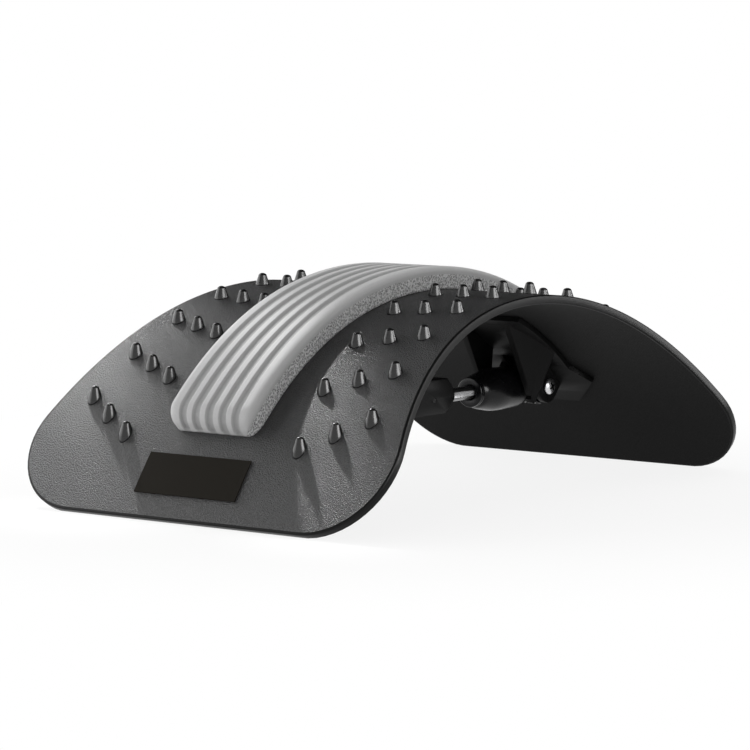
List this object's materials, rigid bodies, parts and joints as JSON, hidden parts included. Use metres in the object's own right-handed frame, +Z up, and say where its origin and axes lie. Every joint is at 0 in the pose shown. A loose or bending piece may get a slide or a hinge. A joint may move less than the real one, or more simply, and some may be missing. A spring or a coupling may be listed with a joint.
{
  "type": "back stretcher",
  "caption": "Springy arched plate with moulded nubs and a ribbed foam pad, held by a telescoping strut pivoted under its legs.",
  "frame": {"origin": "on the floor under the middle of the crown", "axes": "+X across the plate, +Y along it from the near leg with the label to the far leg with the strut's barrel, +Z up"},
  "size_m": [0.254, 0.388, 0.1297],
  "materials": {
    "sheet": "fine pebble grain",
    "foam": "ribbed foam, smooth on top and coarse at the sides",
    "label": "bare printed film",
    "bracket": "moulded, satin",
    "barrel": "gloss black",
    "steel": "bright",
    "seal": "matte",
    "bush": "plain nylon"
  },
  "bodies": {
    "frame": {"arch_plate": "sheet", "foam_pad": "foam", "far_bracket": "bracket", "far_bracket_screw_1": "steel", "far_bracket_screw_2": "steel", "far_bracket_screw_3": "steel", "far_bracket_screw_4": "steel", "far_pivot_bolt": "steel", "far_pivot_nut": "steel", "far_pivot_washer_left": "steel", "far_pivot_washer_right": "steel"},
    "near_leg": {"label_plate": "label", "near_bracket": "bracket", "near_bracket_screw_1": "steel", "near_bracket_screw_2": "steel", "near_bracket_screw_3": "steel", "near_bracket_screw_4": "steel", "near_pivot_bolt": "steel", "near_pivot_nut": "steel", "near_pivot_washer_left": "steel", "near_pivot_washer_right": "steel"},
    "barrel": {"strut_barrel": "barrel", "barrel_collar": "barrel", "rod_seal": "seal", "rod_guide": "bush", "far_bush": "bush"},
    "rod": {"piston_rod": "steel", "piston": "bush", "piston_nut": "steel", "strut_arm": "bracket", "rod_pin": "steel", "near_bush": "bush"}
  },
  "joints": [
    {"name": "arch_flex", "type": "hinge", "parent": "frame", "child": "near_leg", "pos_m": [0, 0, 0.11394], "axis": [-1, 0, 0], "range_deg": [0, 12], "stiffness_Nm_per_rad": 75, "springref_deg": -1.15, "deforming": ["arch_plate", "foam_pad"]},
    {"name": "strut_tilt", "type": "hinge", "parent": "frame", "child": "barrel", "pos_m": [0, 0.13375, 0.04928], "axis": [-1, 0, 0], "range_deg": [0, 6.1]},
    {"name": "rod_slide", "type": "slide", "parent": "barrel", "child": "rod", "axis": [0, -1, 0], "range_m": [0, 0.0125]}
  ],
  "couplings": [
    {"joint": "strut_tilt", "follows": "arch_flex", "ratio": 0.5},
    {"joint": "rod_slide", "follows": "arch_flex", "m_per_rad": 0.0587}
  ]
}
